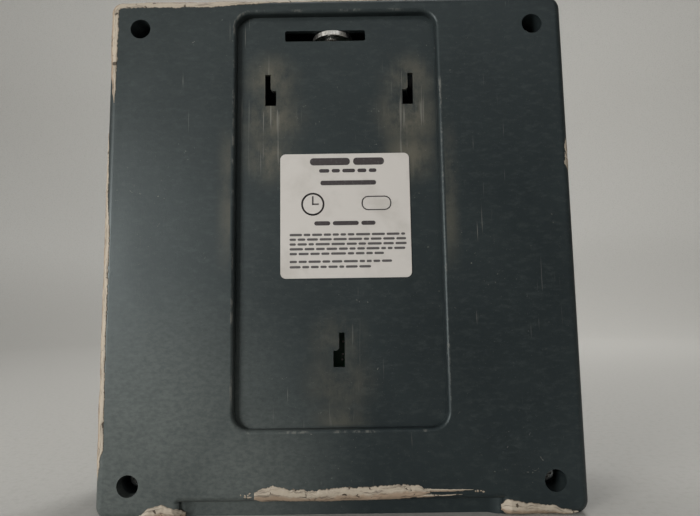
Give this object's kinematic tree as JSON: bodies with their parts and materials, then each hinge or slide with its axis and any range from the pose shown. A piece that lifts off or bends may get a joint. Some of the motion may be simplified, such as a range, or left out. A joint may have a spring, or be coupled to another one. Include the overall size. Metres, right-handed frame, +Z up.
{
  "type": "employee time clock",
  "caption": "Wall-mounted employee time clock with a wedge case, keypad, display, card swipe channel, bracket recess with hook slots and a cam lock.",
  "frame": {"origin": "middle of the base, at the height of the surface the case stands on", "axes": "+Z up, keypad side faces -Y, wall side faces +Y, card channel is on the +X side"},
  "size_m": [0.185, 0.066, 0.205],
  "materials": {
    "slate_plastic": "fine satin texture, scuffed, with dried wall paint on its edges",
    "key_plastic": "matte grey keys with dark printed legends",
    "function_key_plastic": "matte blue keys",
    "steel": "plated steel",
    "zinc": "plated zinc die casting",
    "brass": "dull brass",
    "label": "satin white label film",
    "window": "clear moulded window",
    "display": "yellow-green liquid crystal cell",
    "rubber": "matte silicone rubber",
    "circuit_board": "green solder mask",
    "black_plastic": "black moulded plastic",
    "green_lamp": "tinted light guide",
    "red_lamp": "tinted light guide",
    "flat_cable": "grey flat cable"
  },
  "bodies": {
    "case": {"board_screw_1": "steel", "board_screw_2": "steel", "board_screw_3": "steel", "board_screw_4": "steel", "case_screw_1": "steel", "case_screw_2": "steel", "case_screw_3": "steel", "case_screw_4": "steel", "cell_holder": "black_plastic", "coin_cell": "steel", "display_bezel": "steel", "display_board": "circuit_board", "display_glass": "display", "display_ribbon": "flat_cable", "display_screw_1": "steel", "display_screw_2": "steel", "display_window": "window", "front_cover": "slate_plastic", "keypad_board": "circuit_board", "keypad_mat": "rubber", "keypad_screw_1": "steel", "keypad_screw_2": "steel", "keypad_screw_3": "steel", "keypad_screw_4": "steel", "lamp_green": "green_lamp", "lamp_red": "red_lamp", "lock_body": "zinc", "lock_clip": "steel", "main_board": "circuit_board", "network_socket": "black_plastic", "power_socket": "black_plastic", "processor_chip": "black_plastic", "rating_label": "label", "reader_bracket": "black_plastic", "rear_cover": "slate_plastic", "sounder": "black_plastic", "usb_socket": "steel"},
    "lock": {"lock_plug": "brass", "lock_cam": "zinc", "cam_screw": "steel"},
    "reader_head": {"magnetic_head": "steel", "head_spring": "brass"},
    "key_0": {"key_0": "key_plastic"},
    "key_1": {"key_1": "key_plastic"},
    "key_2": {"key_2": "key_plastic"},
    "key_3": {"key_3": "key_plastic"},
    "key_4": {"key_4": "key_plastic"},
    "key_5": {"key_5": "key_plastic"},
    "key_6": {"key_6": "key_plastic"},
    "key_7": {"key_7": "key_plastic"},
    "key_8": {"key_8": "key_plastic"},
    "key_9": {"key_9": "key_plastic"},
    "key_break": {"key_break": "function_key_plastic"},
    "key_clear": {"key_clear": "key_plastic"},
    "key_clock_in": {"key_clock_in": "function_key_plastic"},
    "key_clock_out": {"key_clock_out": "function_key_plastic"},
    "key_enter": {"key_enter": "key_plastic"},
    "key_menu": {"key_menu": "function_key_plastic"}
  },
  "joints": [
    {"name": "lock_turn", "type": "hinge", "parent": "case", "child": "lock", "pos_m": [0.0017, 0.022, 0.19], "axis": [0, 0, 1], "range_deg": [0, 90]},
    {"name": "reader_head_press", "type": "slide", "parent": "case", "child": "reader_head", "axis": [-1, 0, 0], "range_m": [0, 0.0008], "stiffness_N_per_m": 600},
    {"name": "key_0_press", "type": "slide", "parent": "case", "child": "key_0", "axis": [0, 0.9943, -0.1067], "range_m": [0, 0.0015], "stiffness_N_per_m": 400},
    {"name": "key_1_press", "type": "slide", "parent": "case", "child": "key_1", "axis": [0, 0.9943, -0.1067], "range_m": [0, 0.0015], "stiffness_N_per_m": 400},
    {"name": "key_2_press", "type": "slide", "parent": "case", "child": "key_2", "axis": [0, 0.9943, -0.1067], "range_m": [0, 0.0015], "stiffness_N_per_m": 400},
    {"name": "key_3_press", "type": "slide", "parent": "case", "child": "key_3", "axis": [0, 0.9943, -0.1067], "range_m": [0, 0.0015], "stiffness_N_per_m": 400},
    {"name": "key_4_press", "type": "slide", "parent": "case", "child": "key_4", "axis": [0, 0.9943, -0.1067], "range_m": [0, 0.0015], "stiffness_N_per_m": 400},
    {"name": "key_5_press", "type": "slide", "parent": "case", "child": "key_5", "axis": [0, 0.9943, -0.1067], "range_m": [0, 0.0015], "stiffness_N_per_m": 400},
    {"name": "key_6_press", "type": "slide", "parent": "case", "child": "key_6", "axis": [0, 0.9943, -0.1067], "range_m": [0, 0.0015], "stiffness_N_per_m": 400},
    {"name": "key_7_press", "type": "slide", "parent": "case", "child": "key_7", "axis": [0, 0.9943, -0.1067], "range_m": [0, 0.0015], "stiffness_N_per_m": 400},
    {"name": "key_8_press", "type": "slide", "parent": "case", "child": "key_8", "axis": [0, 0.9943, -0.1067], "range_m": [0, 0.0015], "stiffness_N_per_m": 400},
    {"name": "key_9_press", "type": "slide", "parent": "case", "child": "key_9", "axis": [0, 0.9943, -0.1067], "range_m": [0, 0.0015], "stiffness_N_per_m": 400},
    {"name": "key_break_press", "type": "slide", "parent": "case", "child": "key_break", "axis": [0, 0.9943, -0.1067], "range_m": [0, 0.0015], "stiffness_N_per_m": 400},
    {"name": "key_clear_press", "type": "slide", "parent": "case", "child": "key_clear", "axis": [0, 0.9943, -0.1067], "range_m": [0, 0.0015], "stiffness_N_per_m": 400},
    {"name": "key_clock_in_press", "type": "slide", "parent": "case", "child": "key_clock_in", "axis": [0, 0.9943, -0.1067], "range_m": [0, 0.0015], "stiffness_N_per_m": 400},
    {"name": "key_clock_out_press", "type": "slide", "parent": "case", "child": "key_clock_out", "axis": [0, 0.9943, -0.1067], "range_m": [0, 0.0015], "stiffness_N_per_m": 400},
    {"name": "key_enter_press", "type": "slide", "parent": "case", "child": "key_enter", "axis": [0, 0.9943, -0.1067], "range_m": [0, 0.0015], "stiffness_N_per_m": 400},
    {"name": "key_menu_press", "type": "slide", "parent": "case", "child": "key_menu", "axis": [0, 0.9943, -0.1067], "range_m": [0, 0.0015], "stiffness_N_per_m": 400}
  ]
}
